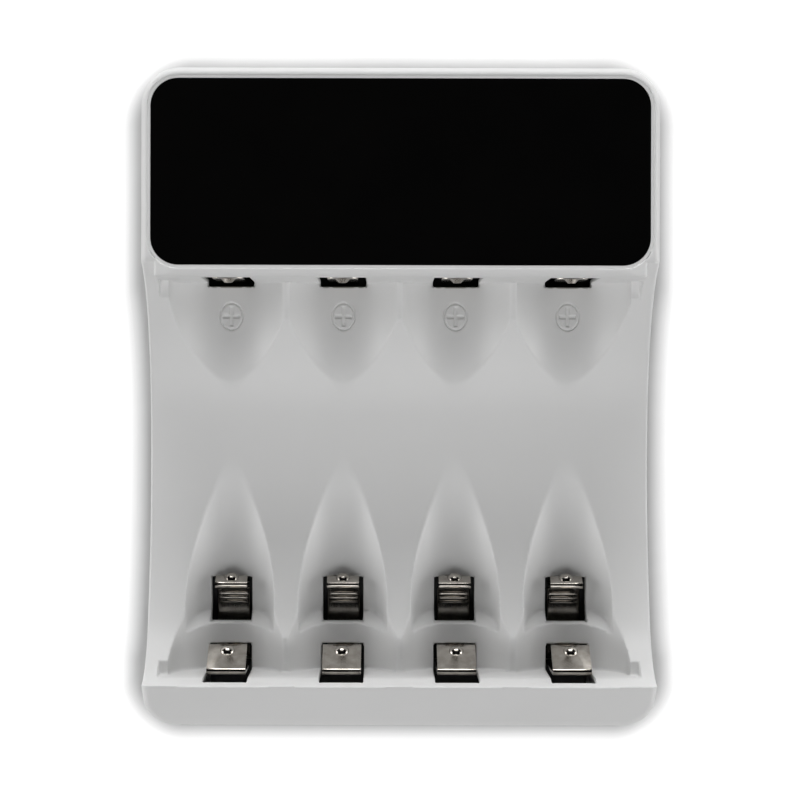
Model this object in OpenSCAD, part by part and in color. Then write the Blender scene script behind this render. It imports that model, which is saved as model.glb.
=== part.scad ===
// Four-bay charger for AA and AAA cells, lying on its back.
// +Z is up, +Y points to the head with the dark panel, and the origin is the middle of the underside.

/* [Cells] */
// Diameter of an AA cell
aa_d = 14.5; // [14:0.1:15]
// Length of an AA cell over its nub
aa_l = 50.5; // [49:0.1:52]
// Diameter of an AAA cell
aaa_d = 10.5; // [10:0.1:10.8]

/* [Bays] */
// Gap between two AA cells side by side
cell_gap = 0.95; // [0.7:0.05:2]
// Radial play of an AA cell in its trough
aa_play = 0.65; // [0.4:0.05:0.8]
// Radial play of an AAA cell in its groove
aaa_play = 0.75; // [0.4:0.05:1]
// Room in a bay beyond the length of an AA cell
bay_spare = 2.65; // [2.4:0.05:3.5]
// Height of the bottom of an AA trough
trough_h = 10.8; // [10.4:0.1:12]
// Slope of an AAA groove below the trough, in degrees
aaa_tilt = 7; // [6:0.1:8]
// Distance from the head to where an AAA groove leaves the trough floor
aaa_start = 12.25; // [11:0.05:14]
// Distance from the foot wall to the top of the step that ends an AAA groove
aaa_step = 6.45; // [6:0.05:7]
// Lean of that step from upright, in degrees
step_lean = 25; // [15:1:30]
// Radius of the rounded ridge between two troughs
ridge_r = 0.75; // [0.5:0.05:1]
// Width of the flat land beside the outer troughs
land_w = 1.25; // [0.5:0.01:1.5]

/* [Housing] */
// Height of the head above the table
body_h = 28; // [27:0.1:30]
// Height of the joint between the cover and the housing
part_h = 3.2; // [3:0.1:3.6]
// Length of the head, from its bay wall to its end
head_l = 27.95; // [27:0.05:32]
// Length of the foot, from its bay wall to its end
foot_l = 7.4; // [7.3:0.05:9.5]
// Thickness of the shoulders beside the bays, at the joint
shoulder_w = 2.16; // [2:0.01:4]
// Draft of the outer walls, in degrees
draft = 1; // [0.5:0.1:2]
// Corner radius of the head's outline at the joint
head_corner_r = 5.5; // [5:0.1:7]
// Corner radius of the foot's outline at the joint
foot_corner_r = 4.3; // [4:0.1:7]
// Fillet along the head's outer top edges
edge_r = 0.65; // [0.4:0.05:0.7]
// Fillet round the foot's sloping band
band_r = 1; // [0.4:0.05:1.2]
// Fillet along the front edge of the head
front_r = 1; // [0.5:0.05:1.2]
// Thickness of the trough floors and the foot walls
wall = 1.6; // [1.4:0.05:1.8]
// Thickness of the outer walls
side_wall = 2; // [1.8:0.05:2.2]
// Thickness of the head's bay wall
head_wall = 2.4; // [2.2:0.05:3]

/* [Saddle] */
// Height of the foot's crest
crest_h = 26.7; // [26:0.1:27.5]
// Set-back of the crest behind the foot's bay wall
crest_back = 0.59; // [0.3:0.01:0.8]
// Height where the foot's sloping band ends
band_low_h = 17; // [15:0.1:19]
// Radius of the saddle's long middle arc
saddle_r = 47; // [44:0.5:60]
// Radius of its arc at the foot
foot_arc_r = 14.1; // [13:0.1:15]
// Turn of the foot arc away from straight down, in degrees
foot_arc_a = 26.3; // [25:0.1:28]
// Radius of its arc at the head
head_arc_r = 24; // [22:0.1:25]
// Distance behind the head's bay wall where the shoulders reach the top
shoulder_back = 2; // [1.5:0.1:2.5]

/* [Slots] */
// Width of an AA contact slot
aa_slot_w = 5.9; // [5.7:0.05:7]
// Reach of an AA slot out of the foot wall
aa_slot_l = 3.55; // [3.3:0.05:4]
// Height of the top of an AA slot
aa_slot_h = 25.2; // [24:0.1:25.5]
// Width of an AAA contact slot
aaa_slot_w = 5.6; // [5:0.05:6.5]
// Length of an AAA slot ahead of the step
aaa_slot_l = 6.1; // [5.9:0.05:7]
// Width of a positive contact slot
plus_slot_w = 6.3; // [5:0.05:7]
// Reach of a positive slot out of the head wall
plus_slot_l = 0.52; // [0.3:0.01:1]
// Height of the top of a positive slot
plus_slot_h = 24.6; // [22:0.1:25]
// Thickness of the edge round the upright slots, in front of a wider room
slot_lip = 0.6; // [0.4:0.05:0.8]
// Width of that room beyond the slot, on each side
slot_relief = 1.2; // [0.5:0.1:1.5]

/* [Display] */
// Width of the rim beside the dark panel
rim_w = 1.29; // [1.25:0.01:2]
// Width of the rim at the panel's far end
rim_end = 1.5; // [1.25:0.01:2.5]
// Distance of the panel from the head's bay wall
panel_front = 1.6; // [1.5:0.05:2.5]
// Corner radius of the panel
panel_r = 3.6; // [2:0.1:5]
// Thickness of the panel
panel_t = 1.2; // [1:0.1:1.4]
// Thickness of the frame's plate under the panel
frame_t = 1; // [0.8:0.1:1.2]
// Width of the frame's border round the panel
frame_border = 0.4; // [0.15:0.01:0.4]
// Gap between the frame and the housing
frame_gap = 0.1; // [0.06:0.01:0.15]
// Gap between the panel and the frame's border
panel_gap = 0.05; // [0.03:0.01:0.1]
// Depth of the panel below the rim
panel_drop = 0.1; // [0:0.05:0.2]
// Depth of the light wells under the frame
well_l = 3.6; // [2:0.1:6]
// Width of a light window
window_w = 9; // [6:0.1:11]
// Length of a light window
window_l = 3.2; // [2:0.1:5]
// Thickness of a light well's wall
well_t = 1; // [0.8:0.1:1.2]

/* [Boards] */
// Thickness of the cover's floor
floor_t = 1.5; // [1.4:0.1:1.6]
// Height of the main board's underside
board_h = 2.3; // [2.2:0.05:2.5]
// Thickness of the main board
board_t = 1.2; // [1:0.1:1.2]
// Gap between the main board and the walls
board_gap = 1.6; // [1.4:0.1:2.5]
// Thickness of the display board
display_t = 1; // [0.8:0.1:1.2]
// Length of the display board
display_l = 18; // [16:0.1:20]
// Width of the controller chip
controller_w = 7; // [5:0.1:8]
// Thickness of the controller chip
controller_t = 1.2; // [0.8:0.1:1.6]
// Width of a charge chip
driver_w = 5; // [3:0.1:6]
// Length of a charge chip
driver_l = 4; // [3:0.1:5]
// Thickness of a charge chip
driver_t = 1.5; // [1:0.1:1.8]
// Width of the coil's base
coil_w = 7; // [5:0.1:8]
// Height of the coil over its base
coil_h = 2.6; // [2:0.1:4]
// Thickness of the coil's base
coil_base_t = 1; // [0.8:0.1:1.2]
// Radius of a capacitor's can
can_r = 3.15; // [2:0.05:3.2]
// Height of a capacitor's can
can_h = 5.8; // [5:0.1:8]
// Thickness of a capacitor's seat
can_seat_t = 0.8; // [0.6:0.1:1]
// Width of a light source
led_w = 3; // [2:0.1:3.5]
// Length of a light source
led_l = 1.4; // [1:0.1:1.6]
// Thickness of a light source
led_t = 0.8; // [0.6:0.1:1]

/* [Contacts] */
// Thickness of the negative spring leaves
leaf_t = 0.4; // [0.3:0.05:0.45]
// Width of an AA leaf
aa_leaf_w = 5.2; // [4:0.05:5.4]
// Width of an AAA leaf
aaa_leaf_w = 4.4; // [3:0.05:5]
// Radius of the rolled root of a leaf
root_r = 0.4; // [0.35:0.01:0.45]
// Gap between a leaf's root and the board or the base strip
root_gap = 0.06; // [0.05:0.01:0.1]
// Distance of an AA leaf's leg from the foot wall, ahead of it
aa_leg_out = 0.45; // [0.3:0.01:0.6]
// Height of the top of an AA leaf
aa_leaf_h = 21.4; // [20:0.1:22]
// Height of the free edge of an AA leaf
aa_edge_h = 16.6; // [15:0.1:17.5]
// Reach of an AA leaf's free edge out of the foot wall
aa_edge_out = 3.75; // [3:0.05:4.2]
// Height of the top of an AAA leaf
aaa_leaf_h = 10.5; // [10:0.05:10.6]
// Height of the free edge of an AAA leaf
aaa_edge_h = 8.6; // [8:0.05:9]
// Distance of an AAA leaf's leg from the step
aaa_leg_out = 4.75; // [4.5:0.05:5]
// Reach of an AAA leaf's free edge ahead of its leg
aaa_edge_out = 1.3; // [1:0.05:1.4]
// Radius of the mid line of a leaf's bend
bend_r = 0.3; // [0.25:0.05:0.5]
// Radius of the dimple on a contact
dimple_r = 1; // [0.8:0.05:1.2]
// Height of the dimple above its leaf
dimple_h = 0.5; // [0.3:0.05:0.6]
// Thickness of a positive contact
plus_t = 0.5; // [0.4:0.05:0.6]
// Width of a positive contact
plus_w = 4.1; // [3:0.05:5]
// Height of the top of a positive contact
plus_h = 20.5; // [20:0.1:22]
// Depth of a positive contact behind the head wall's face
plus_back = 0.2; // [0.1:0.05:0.5]
// Length of a positive contact's foot on the board
plus_foot = 4; // [3:0.1:4.5]

/* [Screws] */
// Radius of a screw boss
boss_r = 2.75; // [2.5:0.05:3]
// Radius of a screw's shank
screw_r = 1; // [0.8:0.05:1.1]
// Length of a screw's shank
screw_l = 8; // [6:0.1:10]
// Radius of a screw's head
head_r = 1.9; // [1.6:0.05:2]
// Thickness of a screw's head
head_t = 0.9; // [0.7:0.05:1]

/* [Hidden] */
$fn = 48;
over = 1;
thin = 0.01;
// Steps along each of the saddle's arcs, and round a leaf's bend
saddle_n = 12;
bend_n = 12;

// Bays
bay_pitch = aa_d + cell_gap;
bay_x = [for (i = [-1.5:1:1.5]) i * bay_pitch];
aa_r = aa_d / 2 + aa_play;
aaa_r = aaa_d / 2 + aaa_play;
axis_h = trough_h + aa_r;
bay_l = aa_l + bay_spare;
body_l = head_l + bay_l + foot_l;
half_l = body_l / 2;
head_y = half_l - head_l;
foot_y = head_y - bay_l;
step_y = foot_y + aaa_step;
bay_half = bay_x[3] + aa_r + land_w;
// The ridge's middle height, where the gap between two troughs is as wide as the ridge
ridge_h = axis_h - sqrt(pow(aa_r, 2) - pow(bay_pitch / 2 - ridge_r, 2));

// Outline
half_w = bay_half + shoulder_w;
head_in_y = head_y + head_wall;
function taper(z) = (z - part_h) * tan(draft);
// The corners' radius and middle at the head's end, 1, or the foot's, -1
function corner_r(end) = end > 0 ? head_corner_r : foot_corner_r;
function corner_at(z, end) = corner_r(end) - taper(z);
function corner_x(end) = half_w - corner_r(end);
function corner_y(end) = half_l - corner_r(end);

// Saddle arcs, each tangent to the next
crest_y = foot_y - crest_back;
foot_arc = [crest_y + foot_arc_r, crest_h];
saddle_c = foot_arc + (saddle_r - foot_arc_r) * [sin(foot_arc_a), cos(foot_arc_a)];
shoulder_top = [head_y + shoulder_back, body_h];
shoulder_v = shoulder_top - saddle_c;
arc_step = saddle_r - head_arc_r;
arc_turn = acos((norm(shoulder_v) ^ 2 + arc_step ^ 2 - head_arc_r ^ 2) / (2 * norm(shoulder_v) * arc_step));
head_arc_a = atan2(shoulder_v[0], -shoulder_v[1]) - arc_turn;
head_arc = saddle_c + arc_step * [sin(head_arc_a), -cos(head_arc_a)];

// Sloping band of the foot
band_low_y = -(half_l - taper(band_low_h));
band_a = atan2(crest_h - band_low_h, crest_y - band_low_y);
function band_z(y, inset) = crest_h + (y - crest_y) * tan(band_a) - inset / cos(band_a);
function band_y(z, inset) = crest_y + (z - crest_h + inset / cos(band_a)) / tan(band_a);

// Display
top_half_w = half_w - taper(body_h);
top_end_y = half_l - taper(body_h);
panel_w = 2 * (top_half_w - rim_w);
panel_y0 = head_y + panel_front;
panel_y1 = top_end_y - rim_end;
panel_l = panel_y1 - panel_y0;
panel_y = (panel_y0 + panel_y1) / 2;
panel_top = body_h - panel_drop;
panel_low = panel_top - panel_t;
ledge_h = panel_low - frame_t;
well_low = ledge_h - well_l;
window_y = panel_y0 + 6;
stake_x = bay_pitch;
stake_y = panel_y1 - 7;
stake_r = 0.8;
stake_gap = 0.1;

// Boards
board_top = board_h + board_t;
board_w = 2 * (half_w - side_wall - board_gap);
board_l = 2 * (half_l - side_wall - board_gap);
display_w = 3 * bay_pitch + window_w + 4;
display_y = panel_y;
header_pitch = 2.54;
header_n = 8;
header_gap = 3.5;
pin_w = 0.64;
pin_play = 0.03;
bar_w = 2.5;
parts_gap = 1.5;
coil_rim = 0.3;
can_rim = 0.15;
chip_y = head_in_y + plus_foot + driver_l / 2;
header_y = chip_y + driver_l / 2 + header_gap;
parts_y = header_y + bar_w / 2 + parts_gap;
can_x = bay_x[3] + driver_w / 2;
function pin_x(i) = (i - (header_n - 1) / 2) * header_pitch;

// Screws
boss_in = side_wall + boss_r - 0.05;
boss_x = half_w - boss_in;
boss_y = half_l - boss_in - 0.15;
boss_at = [for (sx = [-1, 1]) for (sy = [-1, 1]) [sx * boss_x, sy * boss_y]];
boss_top = 14;
screw_seat = head_t + 0.4;
screw_play = 0.05;
lip_h = 1;
lip_t = 1;
lip_gap = 0.1;

// Inlet socket
usb_w = 8.94;
usb_t = 3.2;
usb_l = 7.4;
usb_wall = 0.3;
usb_gap = 0.25;
usb_y = half_l - 0.4;
usb_h = board_top + usb_t / 2;

// Contacts
root_h = board_top + root_gap + root_r;
aa_root_y = foot_y + aa_leg_out;
aaa_root_y = step_y + aaa_leg_out;
base_t = 0.35;
base_w = 4.6;
rib_w = 0.32;
rib_t = 0.25;
rib_pitch = 0.6;
base_y0 = aa_root_y + root_r + 2 * root_gap;
base_y1 = aaa_root_y - root_r - 2 * root_gap;

white = [0.93, 0.93, 0.92];
black = [0.02, 0.02, 0.022];
steel = [0.72, 0.71, 0.69];
board_dark = [0.05, 0.06, 0.055];
ferrite = [0.2, 0.2, 0.21];
can_grey = [0.75, 0.76, 0.78];
gold = [0.83, 0.66, 0.3];

// A profile drawn in Y and Z, extruded across the body
module across(w) {
    rotate([90, 0, 90])
        linear_extrude(w, center = true)
            children();
}

// A profile drawn in X and Z, extruded from y0 to y1
module along(y0, y1) {
    translate([0, y1, 0])
        rotate([90, 0, 0])
            linear_extrude(y1 - y0)
                children();
}

// A rectangle with true round corners, about the origin
module round_rect(w, l, r) {
    square([w - 2 * r, l], center = true);
    square([w, l - 2 * r], center = true);
    for (sx = [-1, 1])
        for (sy = [-1, 1])
            translate([sx * (w / 2 - r), sy * (l / 2 - r)])
                circle(r = r);
}

// A flat ring between two rounded rectangles
module round_ring(w, l, r, t) {
    difference() {
        round_rect(w, l, r);
        round_rect(w - 2 * t, l - 2 * t, max(r - t, 0.2));
    }
}

// Thin discs at the four corners of the outline, moved in from it
module corner_discs(z, inset, ends = [-1, 1]) {
    for (sx = [-1, 1])
        for (sy = ends)
            translate([sx * corner_x(sy), sy * corner_y(sy), z])
                cylinder(r = corner_at(z, sy) - inset, h = thin);
}

// The housing's outer form before the bays are cut, with drafted sides and soft top edges
module outer_body() {
    top_z = body_h - edge_r;
    low_r = corner_at(band_low_h, -1) - band_r;
    hull() {
        corner_discs(part_h, 0);
        for (sx = [-1, 1]) {
            translate([sx * corner_x(1), corner_y(1), top_z])
                rotate_extrude()
                    translate([corner_at(top_z, 1) - edge_r, 0])
                        circle(r = edge_r, $fn = 20);
            translate([sx * (half_w - taper(top_z) - edge_r), band_y(top_z, edge_r), top_z])
                sphere(r = edge_r, $fn = 20);
            for (a = [0:15:90]) {
                z = band_z(-corner_y(-1) - low_r * sin(a), band_r);
                r = corner_at(z, -1) - band_r;
                y = -corner_y(-1) - r * sin(a);
                translate([sx * (corner_x(-1) + r * cos(a)), y, band_z(y, band_r)])
                    sphere(r = band_r, $fn = 20);
            }
        }
    }
}

// The space inside the outer walls, before the bays' own walls are kept
module inner_body() {
    band_top = band_low_h - wall;
    band_back = band_y(ledge_h, wall / 2);
    hull() {
        corner_discs(part_h - over, side_wall);
        corner_discs(ledge_h, side_wall, [1]);
        corner_discs(band_top, side_wall, [-1]);
        for (sx = [-1, 1])
            translate([sx * (half_w - 2 * head_corner_r), band_back + side_wall, ledge_h])
                cylinder(r = side_wall, h = thin);
    }
}

// Points along an arc about a middle, after its first one, turned from straight down
function arc_points(middle, r, a0, a1, n) =
    [for (k = [1:n]) let (a = a0 + (a1 - a0) * k / n) middle + r * [sin(a), -cos(a)]];

// The open space over the saddle in side view, grown by a wall
module saddle_profile(grow = 0, n = saddle_n) {
    top_h = 2 * body_h;
    polygon(concat(
        [[crest_y - grow, top_h], [crest_y - grow, crest_h]],
        arc_points(foot_arc, foot_arc_r + grow, -90, -foot_arc_a, n),
        arc_points(saddle_c, saddle_r + grow, -foot_arc_a, head_arc_a, n),
        arc_points(head_arc, head_arc_r + grow, head_arc_a, 90, n),
        [[head_arc[0] + head_arc_r + grow, top_h]]
    ));
}

// The head's bay wall in side view, with its rounded front edge
module head_front() {
    reach = shoulder_back + head_wall + over;
    translate([head_y, 0])
        square([reach, body_h - front_r]);
    translate([head_y + front_r, 0])
        square([reach - front_r, body_h + over]);
    translate([head_y + front_r, body_h - front_r])
        circle(r = front_r);
}

// The lower half of a trough in end view, open upwards
module half_trough(r, rise = over) {
    intersection() {
        circle(r = r, $fn = 96);
        translate([-r, -r])
            square([2 * r, r]);
    }
    translate([-r, -thin])
        square([2 * r, rise]);
}

// The troughs for AA cells in end view, with a rounded ridge between two
module trough_profile() {
    difference() {
        union() {
            for (x = bay_x)
                translate([x, axis_h])
                    half_trough(aa_r);
            translate([bay_x[0], ridge_h])
                square([3 * bay_pitch, axis_h - ridge_h + over / 2]);
        }
        for (i = [0:2])
            translate([bay_x[i] + bay_pitch / 2, ridge_h])
                circle(r = ridge_r);
    }
}

// The grooves for AAA cells, each a tilted round cut, open upwards, that stops at a leaning step
module aaa_grooves(grow = 0) {
    reach = aaa_start + 2 * aaa_r;
    start_y = head_y - aaa_start;
    length = start_y - step_y + 2 * aaa_r;
    for (x = bay_x)
        difference() {
            translate([x, start_y, trough_h])
                rotate([aaa_tilt, 0, 0])
                    translate([0, 0, aaa_r])
                        rotate([90, 0, 0])
                            translate([0, 0, -aaa_start / 2])
                                linear_extrude(length + aaa_start / 2)
                                    half_trough(aaa_r + grow, aaa_r);
            translate([x, step_y - grow / cos(step_lean), trough_h])
                rotate([step_lean, 0, 0])
                    translate([-reach, -reach, -reach])
                        cube([2 * reach, reach, 2 * reach]);
        }
}

// The saddle swept across the body, short of the head's bay wall
module saddle_cut() {
    difference() {
        across(2 * half_w + 2 * over)
            saddle_profile();
        across(2 * bay_half)
            head_front();
    }
}

// The pocket over the troughs, between the foot wall and the head
module pocket_cut() {
    translate([-bay_half, foot_y, axis_h])
        cube([2 * bay_half, bay_l, body_h]);
}

// The hollow inside the housing, which leaves walls round the bays and bosses for the screws
module housing_hollow() {
    difference() {
        inner_body();
        across(2 * half_w)
            difference() {
                saddle_profile(wall, saddle_n / 2);
                translate([head_in_y, 0])
                    square(4 * body_h);
            }
        translate([-bay_half - wall, foot_y - wall, axis_h - wall])
            cube([2 * (bay_half + wall), bay_l + wall + head_wall, body_h]);
        along(foot_y - wall, head_in_y)
            for (x = bay_x)
                translate([x, axis_h])
                    circle(r = aa_r + wall, $fn = 96);
        aaa_grooves(wall);
        for (p = boss_at)
            translate([p[0], p[1], part_h])
                cylinder(r = boss_r, h = boss_top);
    }
}

// The slot for an AA leaf, through the trough floor and into the hollow foot
module aa_slot() {
    low_h = trough_h - 2 * wall;
    high_y = band_y(aa_slot_h, wall);
    low_y = band_y(band_low_h, wall);
    across(aa_slot_w)
        polygon([
            [foot_y + aa_slot_l, low_h],
            [foot_y + aa_slot_l, aa_slot_h],
            [min(high_y, foot_y - thin), aa_slot_h],
            [low_y, band_low_h],
            [low_y, low_h]
        ]);
    across(aa_slot_w + 2 * slot_relief)
        polygon([
            [foot_y - slot_lip, low_h],
            [foot_y - slot_lip, band_z(foot_y - slot_lip, wall)],
            [low_y, band_low_h],
            [low_y, low_h]
        ]);
}

// The slot for an AAA leaf, through the groove floor and the step
module aaa_slot() {
    translate([-aaa_slot_w / 2, step_y - thin * 5, part_h + lip_h])
        cube([aaa_slot_w, aaa_slot_l, trough_h - part_h]);
}

// The slot for a positive contact, through the head's bay wall
module plus_slot() {
    low_h = trough_h - 2 * wall;
    room_w = plus_slot_w + 2 * slot_relief;
    translate([-plus_slot_w / 2, head_y - plus_slot_l, low_h])
        cube([plus_slot_w, plus_slot_l + head_wall + over, plus_slot_h - low_h]);
    translate([-room_w / 2, head_y + slot_lip, low_h])
        cube([room_w, head_wall + over - slot_lip, plus_slot_h - low_h]);
}

// The round-topped notch for the inlet socket
module usb_notch() {
    r = usb_t / 2 + usb_gap;
    along(half_l - side_wall - 2 * over, half_l + over)
        union() {
            for (sx = [-1, 1])
                translate([sx * (usb_w / 2 + usb_gap - r), usb_h])
                    circle(r = r);
            translate([-(usb_w / 2 + usb_gap - r), usb_h - r])
                square([2 * (usb_w / 2 + usb_gap - r), 2 * r]);
        }
}

module top_housing() {
    play = frame_gap + frame_border + panel_gap;
    color(white)
        difference() {
            outer_body();
            saddle_cut();
            pocket_cut();
            along(foot_y, head_y)
                trough_profile();
            aaa_grooves();
            housing_hollow();
            translate([0, panel_y, ledge_h])
                linear_extrude(body_h)
                    round_rect(panel_w + 2 * play, panel_l + 2 * play, panel_r + play);
            for (x = bay_x)
                translate([x, 0, 0]) {
                    aa_slot();
                    aaa_slot();
                    plus_slot();
                }
            usb_notch();
            for (p = boss_at)
                translate([p[0], p[1], part_h - over])
                    cylinder(r = screw_r + screw_play, h = screw_seat + screw_l - part_h + 2 * over);
        }
}

// The cover's outer form, a shallow tray whose sides draft in to a soft bottom edge
module cover_outer() {
    hull() {
        corner_discs(part_h - thin, 0);
        for (sx = [-1, 1])
            for (sy = [-1, 1])
                translate([sx * corner_x(sy), sy * corner_y(sy), edge_r])
                    rotate_extrude()
                        translate([corner_at(0, sy) - edge_r, 0])
                            circle(r = edge_r, $fn = 20);
    }
}

module bottom_cover() {
    in_w = 2 * (half_w - side_wall);
    in_l = 2 * (half_l - side_wall);
    in_r = head_corner_r - side_wall;
    vent_w = 1.4;
    vent_l = 14;
    vent_n = 5;
    vent_pitch = 3.6;
    pad_r = 2;
    color(white)
        difference() {
            union() {
                difference() {
                    cover_outer();
                    translate([0, 0, floor_t])
                        linear_extrude(body_h)
                            round_rect(in_w - 2 * lip_t, in_l - 2 * lip_t, in_r - lip_t);
                }
                translate([0, 0, floor_t])
                    linear_extrude(part_h + lip_h - floor_t)
                        round_ring(in_w - 2 * lip_gap, in_l - 2 * lip_gap, in_r - lip_gap, lip_t - lip_gap);
                for (p = boss_at)
                    translate([p[0], p[1], floor_t - thin])
                        cylinder(r = boss_r, h = part_h - floor_t);
                for (sx = [-1, 1])
                    for (y = [-half_l / 2, 0, half_l / 2])
                        translate([sx * bay_pitch, y, floor_t - thin])
                            cylinder(r = pad_r, h = board_h - floor_t + thin);
            }
            for (p = boss_at)
                translate([p[0], p[1], part_h - thin])
                    cylinder(r = boss_r + lip_gap, h = lip_h + over);
            for (p = boss_at)
                translate([p[0], p[1], -over]) {
                    cylinder(r = screw_r + 2 * screw_play, h = part_h + 2 * over);
                    cylinder(r = head_r + 2 * screw_play, h = screw_seat + over);
                }
            for (i = [0:vent_n - 1])
                for (sx = [-1, 1])
                    translate([sx * bay_pitch, panel_y + (i - (vent_n - 1) / 2) * vent_pitch, -over])
                        linear_extrude(floor_t + 2 * over)
                            round_rect(vent_l, vent_w, vent_w / 2 - thin);
            usb_notch();
        }
}

module display_panel() {
    color(black)
        translate([0, panel_y, panel_low])
            linear_extrude(panel_t)
                round_rect(panel_w, panel_l, panel_r);
}

// The white frame under the panel, with a thin border and a light well over each bay
module display_frame() {
    grow = panel_gap + frame_border;
    color(white) {
        difference() {
            union() {
                translate([0, panel_y, ledge_h])
                    linear_extrude(frame_t)
                        round_rect(panel_w + 2 * grow, panel_l + 2 * grow, panel_r + grow);
                translate([0, panel_y, ledge_h])
                    linear_extrude(panel_top - ledge_h)
                        round_ring(panel_w + 2 * grow, panel_l + 2 * grow, panel_r + grow, frame_border);
                for (x = bay_x)
                    translate([x, window_y, (well_low + ledge_h + thin) / 2])
                        cube([window_w + 2 * well_t, window_l + 2 * well_t, well_l + thin], center = true);
                for (sx = [-1, 1])
                    translate([sx * stake_x, stake_y, well_low - display_t])
                        cylinder(r = stake_r, h = well_l + display_t + thin);
            }
            for (x = bay_x)
                translate([x, window_y, ledge_h])
                    cube([window_w, window_l, 4 * well_l], center = true);
        }
    }
}

module display_board() {
    color(board_dark)
        difference() {
            translate([-display_w / 2, display_y - display_l / 2, well_low - display_t])
                cube([display_w, display_l, display_t]);
            for (sx = [-1, 1])
                translate([sx * stake_x, stake_y, well_low - display_t - over])
                    cylinder(r = stake_r + stake_gap, h = display_t + 2 * over);
        }
}

module indicator_leds() {
    color(gold)
        for (x = bay_x)
            for (sx = [-1, 1])
                translate([x + sx * window_w / 4 - led_w / 2, window_y - led_l / 2, well_low])
                    cube([led_w, led_l, led_t]);
}

module main_board() {
    notch = 2 * boss_r + 1.2;
    color(board_dark)
        translate([0, 0, board_h])
            linear_extrude(board_t)
                difference() {
                    square([board_w, board_l], center = true);
                    for (p = boss_at)
                        translate(p)
                            square(notch, center = true);
                }
}

// A flat round-ended tube drawn in end view
module usb_outline(inset) {
    r = usb_t / 2 - inset;
    reach = usb_w / 2 - usb_t / 2;
    for (sx = [-1, 1])
        translate([sx * reach, usb_h])
            circle(r = r);
    translate([-reach, usb_h - r])
        square([2 * reach, 2 * r]);
}

module usb_shell() {
    color(steel)
        difference() {
            along(usb_y - usb_l, usb_y)
                usb_outline(0);
            along(usb_y - usb_l + 1, usb_y + over)
                usb_outline(usb_wall);
        }
}

module usb_tongue() {
    tongue = [6.6, 4.6, 0.7];
    color(black)
        translate([-tongue[0] / 2, usb_y - usb_l + 1, usb_h - tongue[2] / 2])
            cube(tongue);
}

module controller_chip() {
    color(black)
        translate([-bay_pitch - controller_w / 2, parts_y - controller_w / 2, board_top])
            cube([controller_w, controller_w, controller_t]);
}

module charge_chips() {
    color(black)
        for (x = bay_x)
            translate([x - driver_w / 2, chip_y - driver_l / 2, board_top])
                cube([driver_w, driver_l, driver_t]);
}

// A shielded coil with a round pot on a square base
module inductor() {
    color(ferrite)
        translate([bay_pitch, parts_y, board_top]) {
            translate([-coil_w / 2, -coil_w / 2, 0])
                cube([coil_w, coil_w, coil_base_t]);
            cylinder(r = coil_w / 2 - coil_rim, h = coil_base_t + coil_h);
        }
}

// Two upright can capacitors on square seats
module capacitors() {
    seat_w = 2 * (can_r + can_rim);
    color(can_grey)
        for (sx = [-1, 1])
            translate([sx * can_x, parts_y, board_top]) {
                translate([-seat_w / 2, -seat_w / 2, 0])
                    cube([seat_w, seat_w, can_seat_t]);
                cylinder(r = can_r, h = can_h);
            }
}

// The upright pins that join the two boards
module header_pins() {
    color(gold)
        for (i = [0:header_n - 1])
            translate([pin_x(i) - pin_w / 2, header_y - pin_w / 2, board_top])
                cube([pin_w, pin_w, well_low - display_t - board_top]);
}

module header_bar() {
    hole = pin_w + 2 * pin_play;
    color(black)
        difference() {
            translate([-header_n * header_pitch / 2, header_y - bar_w / 2, board_top])
                cube([header_n * header_pitch, bar_w, bar_w]);
            for (i = [0:header_n - 1])
                translate([pin_x(i) - hole / 2, header_y - hole / 2, board_top - over])
                    cube([hole, hole, bar_w + 2 * over]);
        }
}

module cover_screws() {
    drive_r = 0.7;
    color(steel)
        for (p = boss_at)
            translate([p[0], p[1], screw_seat - head_t])
                difference() {
                    union() {
                        cylinder(r = head_r, h = head_t);
                        cylinder(r = screw_r, h = head_t + screw_l);
                    }
                    translate([0, 0, -over])
                        cylinder(r = drive_r, h = over + head_t / 2, $fn = 6);
                }
}

// An upright strip behind the head wall, with a foot on the board and a dimple for the cell's nub
module positive_contact(i) {
    y = head_y + plus_back;
    clip = 0.7;
    color(steel)
        translate([bay_x[i - 1], 0, 0]) {
            along(y, y + plus_t)
                polygon([
                    [-plus_w / 2, board_top],
                    [plus_w / 2, board_top],
                    [plus_w / 2, plus_h - clip],
                    [plus_w / 2 - clip, plus_h],
                    [-plus_w / 2 + clip, plus_h],
                    [-plus_w / 2, plus_h - clip]
                ]);
            translate([-plus_w / 2, y, board_top])
                cube([plus_w, plus_foot, plus_t]);
            translate([0, y, trough_h + aa_d / 2])
                rotate([90, 0, 0])
                    cylinder(r1 = dimple_r, r2 = dimple_r / 2, h = dimple_h);
        }
}

// The strip that joins a bay's two negative leaves, with three pressed ribs
module contact_base(i) {
    color(steel)
        translate([bay_x[i - 1], 0, board_top]) {
            translate([-base_w / 2, base_y0, 0])
                cube([base_w, base_y1 - base_y0, base_t]);
            for (k = [1:3])
                translate([-base_w / 2 + rib_w, base_y1 - k * rib_pitch - rib_w, base_t - thin])
                    cube([base_w - 2 * rib_w, rib_w, rib_t + thin]);
        }
}

// The turn of a leaf's front plate from its bend down to its free edge
function leaf_turn(run) = atan2(run[0], -run[1]) - asin(bend_r / norm(run));
function leaf_bend(root_y, top_h) = [root_y + bend_r, top_h - bend_r - leaf_t / 2];

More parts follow.
